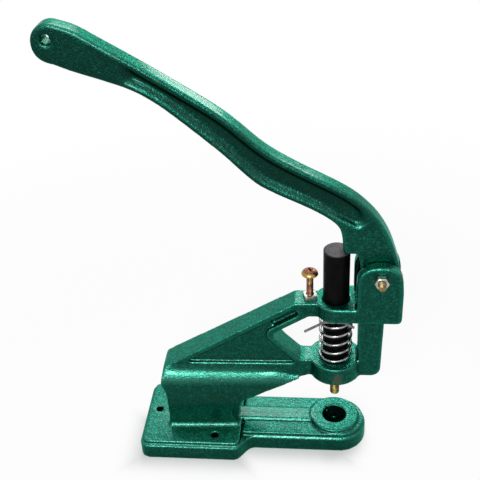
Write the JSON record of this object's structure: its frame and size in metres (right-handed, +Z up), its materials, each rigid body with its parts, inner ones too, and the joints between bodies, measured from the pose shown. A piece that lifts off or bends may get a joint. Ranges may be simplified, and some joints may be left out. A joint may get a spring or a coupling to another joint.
{
  "type": "button press",
  "caption": "Bench hand press for setting snaps, buttons and eyelets: a cast arm guides a sprung ram that a long hand lever pushes down onto a die socket.",
  "frame": {"origin": "centre of the die socket, which is also the ram's axis, in the plane of the underside of the base", "axes": "+Z up along the ram, +X along the press from the handle towards the die tongue's tip, +Y away from the viewer of the picture"},
  "size_m": [0.2899, 0.087, 0.424],
  "materials": {
    "green_paint": "hammered metallic green enamel over cast iron, satin gloss",
    "black_steel": "black oxide, satin",
    "spring_steel": "drawn wire, bright",
    "bright_zinc": "bright zinc plate, satin",
    "yellow_zinc": "yellow passivated zinc plate",
    "brassed_steel": "dull brass colour"
  },
  "bodies": {
    "body": {"base": "green_paint", "arm": "green_paint", "head": "green_paint", "die_screw": "black_steel", "pivot_bolt": "yellow_zinc", "pivot_nut": "bright_zinc", "stop_screw": "yellow_zinc", "stop_nut": "bright_zinc"},
    "lever_arm": {"lever": "green_paint"},
    "plunger": {"ram": "black_steel", "return_spring": "spring_steel", "split_pin": "bright_zinc", "die_stud": "brassed_steel"}
  },
  "joints": [
    {"name": "lever_pivot", "type": "hinge", "parent": "body", "child": "lever_arm", "pos_m": [0.038, 0, 0.202], "axis": [0, -1, 0], "range_deg": [0, 40]},
    {"name": "ram_slide", "type": "slide", "parent": "body", "child": "plunger", "axis": [0, 0, -1], "range_m": [0, 0.0242], "stiffness_N_per_m": 7600, "springref_m": -0.007, "deforming": ["return_spring"]}
  ],
  "couplings": [
    {"joint": "ram_slide", "follows": "lever_pivot", "m_per_rad": 0.0344}
  ]
}
